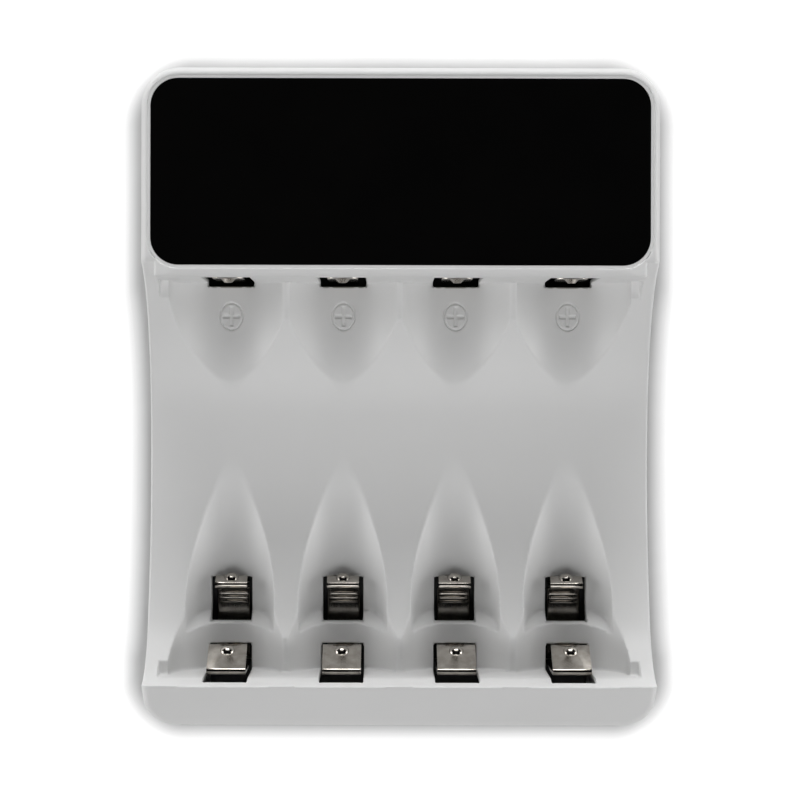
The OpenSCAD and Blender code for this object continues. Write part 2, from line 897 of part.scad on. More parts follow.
// A hairpin leaf in side view: a leg on a rolled root, a bend, and a front plate down to a free edge
module leaf_profile(root_y, top_h, edge) {
    bend = leaf_bend(root_y, top_h);
    turn = leaf_turn(edge - bend);
    half = leaf_t / 2;
    out = [cos(turn), sin(turn)];
    polygon(concat(
        [[root_y - half, root_h], [root_y - half, bend[1]]],
        arc_points(bend, bend_r + half, 270, turn + 90, bend_n),
        [edge + half * out, edge - half * out, bend + (bend_r - half) * out],
        arc_points(bend, bend_r - half, turn + 90, 270, bend_n),
        [[root_y + half, root_h]]
    ));
    translate([root_y, root_h])
        circle(r = root_r);
}

// A hairpin leaf with a dimple near its free edge
module leaf(i, w, root_y, top_h, edge, lift) {
    turn = leaf_turn(edge - leaf_bend(root_y, top_h));
    spot = edge + lift * [-sin(turn), cos(turn)];
    color(steel)
        translate([bay_x[i - 1], 0, 0]) {
            across(w)
                leaf_profile(root_y, top_h, edge);
            translate([0, spot[0], spot[1]])
                rotate([turn - 90, 0, 0])
                    cylinder(r1 = dimple_r, r2 = dimple_r / 2, h = leaf_t / 2 + dimple_h);
        }
}

module aa_contact(i) {
    leaf(i, aa_leaf_w, aa_root_y, aa_leaf_h, [foot_y + aa_edge_out, aa_edge_h], dimple_r + leaf_t);
}

module aaa_contact(i) {
    leaf(i, aaa_leaf_w, aaa_root_y, aaa_leaf_h, [aaa_root_y + aaa_edge_out, aaa_edge_h], dimple_r * 0.6);
}

top_housing();
bottom_cover();
display_panel();
display_frame();
display_board();
indicator_leds();
main_board();
usb_shell();
usb_tongue();
controller_chip();
charge_chips();
inductor();
capacitors();
header_pins();
header_bar();
cover_screws();
for (i = [1:4]) positive_contact(i);
for (i = [1:4]) contact_base(i);
for (i = [1:4]) aa_contact(i);
for (i = [1:4]) aaa_contact(i);
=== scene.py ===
"""Looks of a four-bay charger for AA and AAA cells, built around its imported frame."""
import logging
import math
from dataclasses import dataclass, field
from enum import Enum
from typing import Callable, Optional, Sequence

import bpy
import numpy as np
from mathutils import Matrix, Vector


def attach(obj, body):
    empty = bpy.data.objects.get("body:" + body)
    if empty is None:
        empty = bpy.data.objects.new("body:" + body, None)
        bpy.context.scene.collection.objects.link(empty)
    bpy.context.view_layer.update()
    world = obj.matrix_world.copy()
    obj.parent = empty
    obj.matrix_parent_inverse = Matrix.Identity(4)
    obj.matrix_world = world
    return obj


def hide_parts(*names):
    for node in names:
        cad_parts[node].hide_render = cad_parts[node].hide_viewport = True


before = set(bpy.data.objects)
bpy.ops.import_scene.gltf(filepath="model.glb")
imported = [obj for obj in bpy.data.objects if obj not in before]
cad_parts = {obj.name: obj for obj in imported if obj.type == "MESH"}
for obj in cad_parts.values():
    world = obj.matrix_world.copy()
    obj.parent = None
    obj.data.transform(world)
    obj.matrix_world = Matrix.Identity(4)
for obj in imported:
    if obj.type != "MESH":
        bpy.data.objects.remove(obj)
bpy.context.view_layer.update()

MM = 0.001
BODY = "body"
BAYS = 4
WELD_GAP = 0.000002
TINY = 1e-6
LOG = logging.getLogger("charger")
Array = np.ndarray
Point = tuple[float, float, float]
Pair = tuple[float, float]
Run = tuple[float, float, float]
Socket = bpy.types.NodeSocket


class Side(Enum):
    """The charger's sides, as directions in degrees from +X towards +Y."""

    RIGHT = 0.0
    HEAD = 90.0
    LEFT = 180.0
    FOOT = 270.0


class Blend(Enum):
    """Ways to put two fields together."""

    LARGER = "MAXIMUM"
    PRODUCT = "MULTIPLY"


def link(name: str, data: bpy.types.ID) -> bpy.types.Object:
    """Makes an object of a mesh, lamp or camera and puts it in the scene.

    Args:
        name: the object's name.
        data: what it shows.

    Returns:
        The object.
    """
    obj = bpy.data.objects.new(name, data)
    bpy.context.scene.collection.objects.link(obj)
    return obj


class NodeBoard:
    """A material's node tree, with short calls for the nodes that the finishes share.

    Attributes:
        noise_band: the values between which a noise field mostly lies.
    """

    noise_band: Pair = (0.3, 0.7)

    def __init__(self, name: str) -> None:
        """Makes an empty material with a shader and its output.

        Args:
            name: the material's name.
        """
        self.material = bpy.data.materials.new(name)
        self.material.use_nodes = True
        self.tree = self.material.node_tree
        self.shader = self.tree.nodes["Principled BSDF"]
        self.output = self.tree.nodes["Material Output"]
        self._coords: Optional[bpy.types.Node] = None

    def add(self, kind: str, **settings: object) -> bpy.types.Node:
        """Adds a node and sets its properties.

        Args:
            kind: the node's type name.
            settings: properties of the node.

        Returns:
            The new node.
        """
        node = self.tree.nodes.new(kind)
        for key, value in settings.items():
            setattr(node, key, value)
        return node

    def join(self, source: Socket, target: Socket) -> None:
        """Links one socket to another."""
        self.tree.links.new(source, target)

    def coords(self) -> Socket:
        """Returns the object's own coordinates, in metres of the shared frame."""
        if self._coords is None:
            self._coords = self.add("ShaderNodeTexCoord")
        return self._coords.outputs["Object"]

    def stretch(self, scale: Point) -> Socket:
        """Returns the coordinates multiplied by a scale on each axis.

        Args:
            scale: the factor on X, Y and Z.

        Returns:
            The scaled coordinates.
        """
        node = self.add("ShaderNodeMapping")
        node.inputs["Scale"].default_value = scale
        self.join(self.coords(), node.inputs["Vector"])
        return node.outputs["Vector"]

    def noise(self, scale: float, detail: float, vector: Optional[Socket] = None) -> Socket:
        """Adds a noise field.

        Args:
            scale: grains in a metre.
            detail: octaves of finer grain.
            vector: the coordinates, or the object's own if none are given.

        Returns:
            The field's value.
        """
        node = self.add("ShaderNodeTexNoise")
        node.inputs["Scale"].default_value = scale
        node.inputs["Detail"].default_value = detail
        self.join(vector or self.coords(), node.inputs["Vector"])
        return node.outputs["Fac"]

    def span(self, value: Socket, low: float, high: float) -> Socket:
        """Maps a field from its middle band to a range.

        Args:
            value: the field.
            low: result where the field is low.
            high: result where it is high.

        Returns:
            The mapped field.
        """
        node = self.add("ShaderNodeMapRange")
        node.inputs["From Min"].default_value = self.noise_band[0]
        node.inputs["From Max"].default_value = self.noise_band[1]
        node.inputs["To Min"].default_value = low
        node.inputs["To Max"].default_value = high
        self.join(value, node.inputs["Value"])
        return node.outputs["Result"]

    def tint(self, value: Socket, first: Sequence[float], second: Sequence[float]) -> Socket:
        """Mixes two colours by a field.

        Args:
            value: the field.
            first: colour where it is low.
            second: colour where it is high.

        Returns:
            The mixed colour.
        """
        node = self.add("ShaderNodeMix", data_type="RGBA")
        inputs = {socket.identifier: socket for socket in node.inputs}
        outputs = {socket.identifier: socket for socket in node.outputs}
        inputs["A_Color"].default_value = (*first, 1.0)
        inputs["B_Color"].default_value = (*second, 1.0)
        self.join(value, inputs["Factor_Float"])
        return outputs["Result_Color"]

    def blend(self, way: Blend, first: Socket, second: Socket) -> Socket:
        """Puts two fields together.

        Args:
            way: how they are put together.
            first: the first field.
            second: the second field.

        Returns:
            The result.
        """
        node = self.add("ShaderNodeMath", operation=way.value)
        self.join(first, node.inputs[0])
        self.join(second, node.inputs[1])
        return node.outputs[0]

    def bump(self, height: Socket, depth: float) -> None:
        """Gives the shader a fine relief.

        Args:
            height: the relief's field.
            depth: its depth in metres.
        """
        node = self.add("ShaderNodeBump")
        node.inputs["Distance"].default_value = depth
        self.join(height, node.inputs["Height"])
        self.join(node.outputs["Normal"], self.shader.inputs["Normal"])


@dataclass(frozen=True)
class Finish:
    """A surface finish with a fine procedural grain.

    Attributes:
        name: name of the material.
        colour: main colour.
        second: colour that the colour field mixes in.
        rough: roughness, low and high.
        metallic: 1 for bare metal.
        tone_scale: grains of the colour field in a metre.
        grain_scale: grains of the relief in a metre.
        grain_depth: depth of the relief in metres.
        grain_stretch: factor on each axis, so that drawn metal has its lines.
        specular: level of the plain reflection.
        detail: octaves of the colour field and of the relief.
    """

    name: str
    colour: Point
    second: Point
    rough: Pair
    metallic: float = 0.0
    tone_scale: float = 60.0
    grain_scale: float = 4000.0
    grain_depth: float = 0.000004
    grain_stretch: Point = (1.0, 1.0, 1.0)
    specular: float = 0.5
    detail: Pair = (3.0, 2.0)

    def make(self) -> bpy.types.Material:
        """Builds the material's nodes.

        Returns:
            The material.
        """
        board = NodeBoard(f"{self.name}_finish")
        shader = board.shader
        tone = board.span(board.noise(self.tone_scale, self.detail[0]), 0.0, 1.0)
        grain = board.noise(self.grain_scale, self.detail[1], board.stretch(self.grain_stretch))
        board.join(board.tint(tone, self.colour, self.second), shader.inputs["Base Color"])
        board.join(board.span(grain, *self.rough), shader.inputs["Roughness"])
        shader.inputs["Metallic"].default_value = self.metallic
        shader.inputs["Specular IOR Level"].default_value = self.specular
        board.bump(grain, self.grain_depth)
        return board.material


HOUSING_WHITE = Finish("housing_white", (0.85, 0.85, 0.848), (0.82, 0.82, 0.816), (0.42, 0.52),
                       tone_scale=45.0, grain_scale=5200.0, grain_depth=0.000006)
FRAME_WHITE = Finish("frame_white", (0.84, 0.84, 0.838), (0.81, 0.81, 0.806), (0.4, 0.5))
PANEL_BLACK = Finish("panel_black", (0.0022, 0.0022, 0.0022), (0.0030, 0.0029, 0.0028), (0.015, 0.03),
                     tone_scale=90.0, grain_scale=220.0, grain_depth=0.0000004, specular=0.4)
NICKEL = Finish("contact_nickel", (0.50, 0.47, 0.43), (0.36, 0.335, 0.30), (0.10, 0.20), metallic=1.0,
                tone_scale=900.0, grain_scale=1500.0, grain_stretch=(6.0, 1.0, 1.0))
SOCKET_STEEL = Finish("socket_steel", (0.62, 0.62, 0.63), (0.55, 0.55, 0.56), (0.25, 0.36), metallic=1.0,
                      tone_scale=300.0, grain_scale=1400.0, grain_stretch=(5.0, 1.0, 1.0))
SCREW_STEEL = Finish("screw_steel", (0.42, 0.42, 0.43), (0.33, 0.33, 0.34), (0.28, 0.42), metallic=1.0,
                     tone_scale=500.0)
BOARD_BLACK = Finish("board_black", (0.010, 0.012, 0.011), (0.016, 0.018, 0.017), (0.3, 0.45),
                     tone_scale=900.0)
BLACK_PLASTIC = Finish("black_plastic", (0.012, 0.012, 0.012), (0.02, 0.02, 0.02), (0.5, 0.65),
                       tone_scale=700.0)
FERRITE = Finish("ferrite_grey", (0.05, 0.05, 0.055), (0.08, 0.08, 0.085), (0.6, 0.75), tone_scale=900.0)
CAN_ALUMINIUM = Finish("can_aluminium", (0.70, 0.71, 0.73), (0.62, 0.63, 0.65), (0.28, 0.4), metallic=1.0,
                       tone_scale=400.0)
PIN_BRASS = Finish("pin_brass", (0.75, 0.58, 0.25), (0.66, 0.5, 0.2), (0.25, 0.38), metallic=1.0,
                   tone_scale=600.0)
LED_LENS = Finish("led_lens", (0.80, 0.74, 0.48), (0.72, 0.66, 0.4), (0.12, 0.2), tone_scale=900.0)


def dress(obj: bpy.types.Object, finish: Finish) -> None:
    """Gives an object one finish in all its slots.

    Args:
        obj: the object.
        finish: the finish.
    """
    material = bpy.data.materials.get(f"{finish.name}_finish") or finish.make()
    obj.data.materials.clear()
    obj.data.materials.append(material)


def smooth_by_angle(obj: bpy.types.Object, degrees: float) -> None:
    """Welds an object's seams and shades it smooth below an angle, with modifiers only.

    Args:
        obj: the object.
        degrees: edges sharper than this stay sharp.
    """
    weld = obj.modifiers.new("weld", "WELD")
    weld.merge_threshold = WELD_GAP
    group = bpy.data.node_groups.get("smooth_by_angle") or make_smooth_group()
    smooth = obj.modifiers.new("smooth", "NODES")
    smooth.node_group = group
    smooth["Socket_1"] = math.radians(degrees)


def make_smooth_group() -> bpy.types.NodeTree:
    """Builds the node group that shades smooth below an angle.

    Returns:
        The node group.
    """
    group = bpy.data.node_groups.new("smooth_by_angle", "GeometryNodeTree")
    group.interface.new_socket("Geometry", in_out="INPUT", socket_type="NodeSocketGeometry")
    group.interface.new_socket("Angle", in_out="INPUT", socket_type="NodeSocketFloat")
    group.interface.new_socket("Geometry", in_out="OUTPUT", socket_type="NodeSocketGeometry")
    nodes, links = group.nodes, group.links
    start, end = nodes.new("NodeGroupInput"), nodes.new("NodeGroupOutput")
    angle = nodes.new("GeometryNodeInputMeshEdgeAngle")
    sharp = nodes.new("FunctionNodeCompare")
    sharp.operation = "GREATER_THAN"
    faces, edges = nodes.new("GeometryNodeSetShadeSmooth"), nodes.new("GeometryNodeSetShadeSmooth")
    faces.domain, edges.domain = "FACE", "EDGE"
    edges.inputs["Shade Smooth"].default_value = False
    links.new(start.outputs[0], faces.inputs["Geometry"])
    links.new(faces.outputs["Geometry"], edges.inputs["Geometry"])
    links.new(angle.outputs["Unsigned Angle"], sharp.inputs["A"])
    links.new(start.outputs[1], sharp.inputs["B"])
    links.new(sharp.outputs["Result"], edges.inputs["Selection"])
    links.new(edges.outputs["Geometry"], end.inputs[0])
    return group


@dataclass
class CadPieces:
    """CAD nodes that keep their shape and get a finish.

    Attributes:
        finishes: each node's finish, where a name that ends in an underscore stands for four numbered nodes.
        angle: edges sharper than this, in degrees, stay sharp.
        edge: rounding of metal edges, in metres.
        segments: faces across that rounding.
    """

    finishes: dict[str, Finish]
    angle: float = 32.0
    edge: float = 0.00006
    segments: int = 2

    def dress(self) -> None:
        """Dresses every node that is named, with a fine rounding on the edges of sheet metal."""
        for name, finish in self.finishes.items():
            for node in self.names(name):
                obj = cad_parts[node]
                dress(obj, finish)
                smooth_by_angle(obj, self.angle)
                if finish.metallic:
                    self.round_edges(obj)
                LOG.info("dressed %s in %s", node, finish.name)

    def round_edges(self, obj: bpy.types.Object) -> None:
        """Rounds an object's sharp edges with a modifier, between the weld and the shading."""
        bevel = obj.modifiers.new("edges", "BEVEL")
        bevel.width = self.edge
        bevel.segments = self.segments
        bevel.limit_method = "ANGLE"
        bevel.angle_limit = math.radians(self.angle)
        obj.modifiers.move(len(obj.modifiers) - 1, 1)

    @staticmethod
    def names(name: str) -> list[str]:
        """Returns the node names that one entry stands for."""
        return [f"{name}{bay + 1}" for bay in range(BAYS)] if name.endswith("_") else [name]


def round_max(a: Array, b: Array, r: float | Array) -> Array:
    """Keeps what lies in both of two solids, with a rounded edge where they meet.

    Args:
        a: distance to the first solid, negative inside.
        b: distance to the second solid.
        r: radius of the edge.

    Returns:
        The distance to the common solid.
    """
    return np.minimum(-r, np.maximum(a, b)) + np.hypot(np.maximum(a + r, 0.0), np.maximum(b + r, 0.0))


def round_min(a: Array, b: Array, r: float | Array) -> Array:
    """Joins two openings, so that the material left between them has a rounded edge."""
    return -round_max(-a, -b, r)


def corner_distance(qx: Array, qy: Array) -> Array:
    """Returns the distance to a corner from the distances past its two walls."""
    return np.hypot(np.maximum(qx, 0.0), np.maximum(qy, 0.0)) + np.minimum(np.maximum(qx, qy), 0.0)


def ramp(value: Array, start: float, end: float) -> Array:
    """Rises smoothly from 0 to 1 between two values."""
    t = np.clip((value - start) / (end - start), 0.0, 1.0)
    return t * t * (3.0 - 2.0 * t)


@dataclass(frozen=True)
class PlusSign:
    """The sunk sign on each trough floor, a plus in a ring, in millimetres.

    Attributes:
        middle_y: where the signs stand.
        ring: half width and half length of the ring's middle line.
        bar: half lengths of the plus's bars across and along the bay.
        ring_w: width of the ring's groove.
        bar_w: width of the bars' grooves.
        depth: depth of the grooves.
        bank: width of their sloping sides.
    """

    middle_y: float = 11.69
    ring: Pair = (1.53, 1.83)
    bar: Pair = (1.25, 1.4)
    ring_w: float = 0.42
    bar_w: float = 0.66
    depth: float = 0.22
    bank: float = 0.2

    def sunk(self, dx: Array, dy: Array) -> Array:
        """Returns the depth of the sign at points measured from its middle."""
        rx, ry = self.ring
        ring = np.abs(np.hypot(dx / rx, dy / ry) - 1.0) * (rx + ry) / 2 - self.ring_w / 2
        across = np.maximum(np.abs(dx) - self.bar[0], np.abs(dy) - self.bar_w / 2)
        along = np.maximum(np.abs(dx) - self.bar_w / 2, np.abs(dy) - self.bar[1])
        edge = np.minimum(ring, np.minimum(across, along))
        return self.depth * (1.0 - ramp(edge, -self.bank, 0.0))


@dataclass(frozen=True)
class HousingForm:
    """The moulded housing as a distance field with soft edges, in millimetres.

    Attributes:
        half_w: half the width at the joint.
        half_l: half the length at the joint.
        part_h: height of the joint with the cover.
        body_h: height of the head.
        draft: draft of the outer walls in degrees.
        corner_r: corner radius at the joint, at the head and at the foot.
        edge: width and drop of the bevel on the head's outer top edges.
        edge_r: rounding of that bevel.
        band_r: fillet round the foot's sloping band.
        front_r: fillet of the head's front edge.
        front_y: where that fillet starts and is full along Y.
        front_x: the same from the bays' sides.
        side_r: rounding where the saddle meets the outer walls.
        soft_r: rounding of the bays' edges.
        pocket_r: rounding where the troughs open into the pocket over them.
        end_r: rounding where the troughs and grooves end towards the foot.
        slot_r: rounding of the slots' edges.
        recess_r: rounding of the edges of the display recess and the inlet notch.
        head_y: the head's bay wall.
        foot_y: the foot's bay wall.
        bay_half: half the width over the four bays.
        pitch: distance between two bays.
        aa_r: radius of a trough.
        trough_h: height of a trough's floor.
        ridge_r: radius of the ridge between two troughs.
        ridge_h: height of the middle of that radius.
        aaa_r: radius of an AAA groove.
        aaa_tilt: its slope in degrees.
        aaa_y: where it leaves the trough floor.
        step_y: top of the step that ends it.
        step_lean: lean of the step in degrees.
        crest: the foot's crest in Y and Z.
        band_low: lower end of the foot's sloping band in Y and Z.
        foot_arc: middle in Y and Z and radius of the saddle's arc at the foot.
        saddle_arc: the same for its long middle arc.
        head_arc: the same for its arc at the head.
        turns: angles from straight down where the middle arc ends, in degrees.
        wall: thickness of the floors.
        side_wall: thickness of the outer walls.
        ledge_h: height of the ledge under the display frame.
        ledge_over: how far the inside reaches over that ledge.
        recess: half width, half length, middle Y and corner radius of the display recess.
        boss: place in X and Y, radius and top of a screw boss.
        inlet: half straight width, radius, height and rear of the inlet notch.
        aa_slot: half width, reach from the foot's bay wall and top of an AA leaf's slot.
        aaa_slot: half width, start and end from the step, low end and top of an AAA leaf's slot.
        plus_slot: half width, start and end from the head's bay wall and top of a positive strip's slot.
        room_half: half width of the rooms behind the upright slots, at the foot and at the head.
        room_gap: thickness of the bay wall in front of a room.
        rear_y: rear of the rooms at the foot.
        sign: the sunk sign in each bay.
    """

    half_w: float = 34.485
    half_l: float = 44.25
    part_h: float = 3.2
    body_h: float = 28.0
    draft: float = 1.0
    corner_r: Pair = (5.5, 4.3)
    edge: Pair = (0.55, 0.8)
    edge_r: float = 0.25
    band_r: float = 1.0
    front_r: float = 1.0
    front_y: Pair = (6.0, 12.0)
    front_x: Pair = (0.8, 3.3)
    side_r: float = 0.35
    soft_r: float = 0.15
    pocket_r: float = 0.2
    end_r: float = 0.3
    slot_r: float = 0.06
    recess_r: float = 0.05
    head_y: float = 16.3
    foot_y: float = -36.85
    bay_half: float = 32.325
    pitch: float = 15.45
    aa_r: float = 7.9
    trough_h: float = 10.8
    ridge_r: float = 0.75
    ridge_h: float = 14.99
    aaa_r: float = 6.0
    aaa_tilt: float = 7.0
    aaa_y: float = 4.05
    step_y: float = -30.4
    step_lean: float = 25.0
    crest: Pair = (-37.44, 26.7)
    band_low: Pair = (-44.009, 17.0)
    foot_arc: Point = (-23.34, 26.7, 14.1)
    saddle_arc: Point = (-8.763, 56.195, 47.0)
    head_arc: Point = (-5.063, 33.494, 24.0)
    turns: Pair = (-26.3, 9.257)
    wall: float = 1.6
    side_wall: float = 2.0
    ledge_h: float = 25.7
    ledge_over: float = 0.3
    recess: tuple[float, float, float, float] = (33.19, 12.64, 30.109, 4.03)
    boss: tuple[float, float, float, float] = (29.785, 39.4, 2.75, 17.2)
    inlet: tuple[float, float, float, float] = (2.87, 1.85, 5.1, 40.25)
    aa_slot: Point = (2.95, 3.55, 25.2)
    aaa_slot: tuple[float, float, float, float, float] = (2.8, 0.05, 6.05, 4.2, 11.8)
    plus_slot: tuple[float, float, float, float] = (3.15, 0.52, 3.4, 24.6)
    room_half: Pair = (4.15, 4.35)
    room_gap: float = 0.6
    rear_y: float = -42.08
    sign: PlusSign = PlusSign()

    @property
    def slot_low(self) -> float:
        """Returns the height at which the upright slots start, well under the trough floors."""
        return self.trough_h - 2 * self.wall

    def sides(self, x: Array, y: Array, z: Array) -> Array:
        """Returns the distance to the drafted side walls."""
        corner = np.where(y > 0.0, *self.corner_r)
        r = corner - (z - self.part_h) * math.tan(math.radians(self.draft))
        qx = np.abs(x) - (self.half_w - corner)
        qy = np.abs(y) - (self.half_l - corner)
        return corner_distance(qx, qy) - r

    def band(self, y: Array, z: Array) -> Array:
        """Returns the distance to the foot's sloping band."""
        run, rise = self.crest[0] - self.band_low[0], self.crest[1] - self.band_low[1]
        long = math.hypot(run, rise)
        return (run * (z - self.crest[1]) - rise * (y - self.crest[0])) / long

    def saddle(self, y: Array, z: Array) -> Array:
        """Returns the distance to the open space over the saddle, negative in the space."""
        turn = np.degrees(np.arctan2(y - self.saddle_arc[0], self.saddle_arc[1] - z))
        arcs = [np.hypot(y - a[0], z - a[1]) - a[2] for a in (self.foot_arc, self.saddle_arc, self.head_arc)]
        foot = np.where(z > self.crest[1], self.crest[0] - y, arcs[0])
        return np.where(turn < self.turns[0], foot, np.where(turn > self.turns[1], arcs[2], arcs[1]))

    def across_bay(self, x: Array) -> Array:
        """Returns the distance in X to the middle of the nearest bay."""
        side = np.abs(x)
        return np.abs(side - np.where(side < self.pitch, self.pitch / 2, 1.5 * self.pitch))

    def tub(self, x: Array, y: Array, z: Array) -> Array:
        """Returns the distance to the pocket and the four troughs, open towards the head."""
        axis_h = self.trough_h + self.aa_r
        du = self.across_bay(x)
        trough = np.where(z < axis_h, np.hypot(du, z - axis_h), du) - self.aa_r
        dm = np.abs(np.mod(x + self.pitch / 2, self.pitch) - self.pitch / 2)
        between = np.maximum(self.ridge_h - z, np.abs(x) - 1.5 * self.pitch)
        between = np.maximum(between, self.ridge_r - np.hypot(dm, z - self.ridge_h))
        pocket = np.maximum(np.abs(x) - self.bay_half, axis_h - z)
        profile = round_min(np.minimum(trough, between), pocket, self.pocket_r)
        return round_max(profile, self.foot_y - y, self.end_r)

    def groove(self, x: Array, y: Array, z: Array) -> Array:
        """Returns the distance to the AAA grooves, open upwards and ended by the step."""
        tilt, lean = math.radians(self.aaa_tilt), math.radians(self.step_lean)
        up = (z - self.trough_h) * math.cos(tilt) - (y - self.aaa_y) * math.sin(tilt)
        du = self.across_bay(x)
        round_part = np.where(up < self.aaa_r, np.hypot(du, up - self.aaa_r), du) - self.aaa_r
        ahead = (y - self.step_y) * math.cos(lean) + (z - self.trough_h) * math.sin(lean)
        return round_max(round_part, -ahead, self.end_r)

    def bays(self, x: Array, y: Array, z: Array) -> Array:
        """Returns the distance to all that is cut away between the foot and the head."""
        head = y - self.head_y
        saddle = np.maximum(self.saddle(y, z), np.minimum(head, self.bay_half - np.abs(x)))
        cut = round_min(saddle, np.maximum(self.tub(x, y, z), head), self.soft_r)
        return round_min(cut, np.maximum(self.groove(x, y, z), head), self.soft_r)

    def slots(self, x: Array, y: Array, z: Array) -> Array:
        """Returns the distance to the contact slots."""
        du = self.across_bay(x)
        half, reach, top = self.aa_slot
        aa = np.maximum(np.maximum(y - self.foot_y - reach, self.band(y, z) + self.wall), du - half)
        aa = np.maximum(aa, np.maximum(np.maximum(self.slot_low - z, z - top), self.rear_y - y))
        half, start, end, low, top = self.aaa_slot
        aaa = np.maximum(np.maximum(self.step_y - start - y, y - self.step_y - end), du - half)
        aaa = np.maximum(aaa, np.maximum(low - z, z - top))
        half, start, end, top = self.plus_slot
        plus = np.maximum(np.maximum(self.head_y - start - y, y - self.head_y - end), du - half)
        plus = np.maximum(plus, np.maximum(self.slot_low - z, z - top))
        return np.minimum(np.minimum(np.minimum(aa, aaa), plus), self.rooms(du, y, z))

    def rooms(self, du: Array, y: Array, z: Array) -> Array:
        """Returns the distance to the wider rooms behind the upright slots.

        Args:
            du: distance in X from the middle of a bay.
            y, z: the points.

        Returns:
            The distance, negative in the rooms.
        """
        foot_half, head_half = self.room_half
        end, top = self.plus_slot[2:]
        foot = np.maximum(y - self.foot_y + self.room_gap, self.band(y, z) + self.wall)
        foot = np.maximum(np.maximum(foot, du - foot_half), np.maximum(self.slot_low - z, self.rear_y - y))
        head = np.maximum(self.head_y + self.room_gap - y, y - self.head_y - end)
        head = np.maximum(np.maximum(head, du - head_half), np.maximum(self.slot_low - z, z - top))
        return np.minimum(foot, head)

    def hollow(self, x: Array, y: Array, z: Array, cut: Array) -> Array:
        """Returns the distance to the space inside the housing.

        Args:
            x, y, z: the points.
            cut: distance to the bays at the same points.

        Returns:
            The distance, negative in the space.
        """
        space = np.maximum(self.sides(x, y, z) + self.side_wall, self.band(y, z) + self.wall)
        space = np.maximum(space, np.maximum(z - self.ledge_h - self.ledge_over, self.wall - cut))
        bx, by, br, top = self.boss
        boss = np.maximum(np.hypot(np.abs(x) - bx, np.abs(y) - by) - br, z - top)
        return np.maximum(space, -boss)

    def openings(self, x: Array, y: Array, z: Array) -> Array:
        """Returns the distance to the display recess and the inlet notch."""
        wide, long, middle, r = self.recess
        qx, qy = np.abs(x) - (wide - r), np.abs(y - middle) - (long - r)
        recess = corner_distance(qx, qy) - r
        reach, ir, ih, rear = self.inlet
        inlet = np.hypot(np.maximum(np.abs(x) - reach, 0.0), z - ih) - ir
        return np.minimum(np.maximum(recess, self.ledge_h - z), np.maximum(inlet, rear - y))

    def distance(self, x: Array, y: Array, z: Array) -> Array:
        """Returns the distance to the whole housing, negative inside the plastic."""
        side, top = self.sides(x, y, z), z - self.body_h
        run, drop = self.edge
        bevel = (drop * side + run * top + run * drop) / math.hypot(run, drop)
        solid = round_max(round_max(side, bevel, self.edge_r), top, self.edge_r)
        solid = round_max(solid, self.band(y, z), self.band_r)
        cut = self.bays(x, y, z)
        front = ramp(y, *self.front_y) * ramp(self.bay_half - np.abs(x), *self.front_x)
        solid = round_max(solid, -cut, self.side_r + (self.front_r - self.side_r) * front)
        sunk = self.sign.sunk(self.across_bay(x), y - self.sign.middle_y)
        solid = solid + np.where(z > self.trough_h - self.wall / 2, sunk, 0.0)
        solid = round_max(solid, -self.slots(x, y, z), self.slot_r)
        solid = round_max(solid, -self.openings(x, y, z), self.recess_r)
        solid = np.maximum(solid, -self.hollow(x, y, z, cut))
        return np.maximum(solid, self.part_h - z)


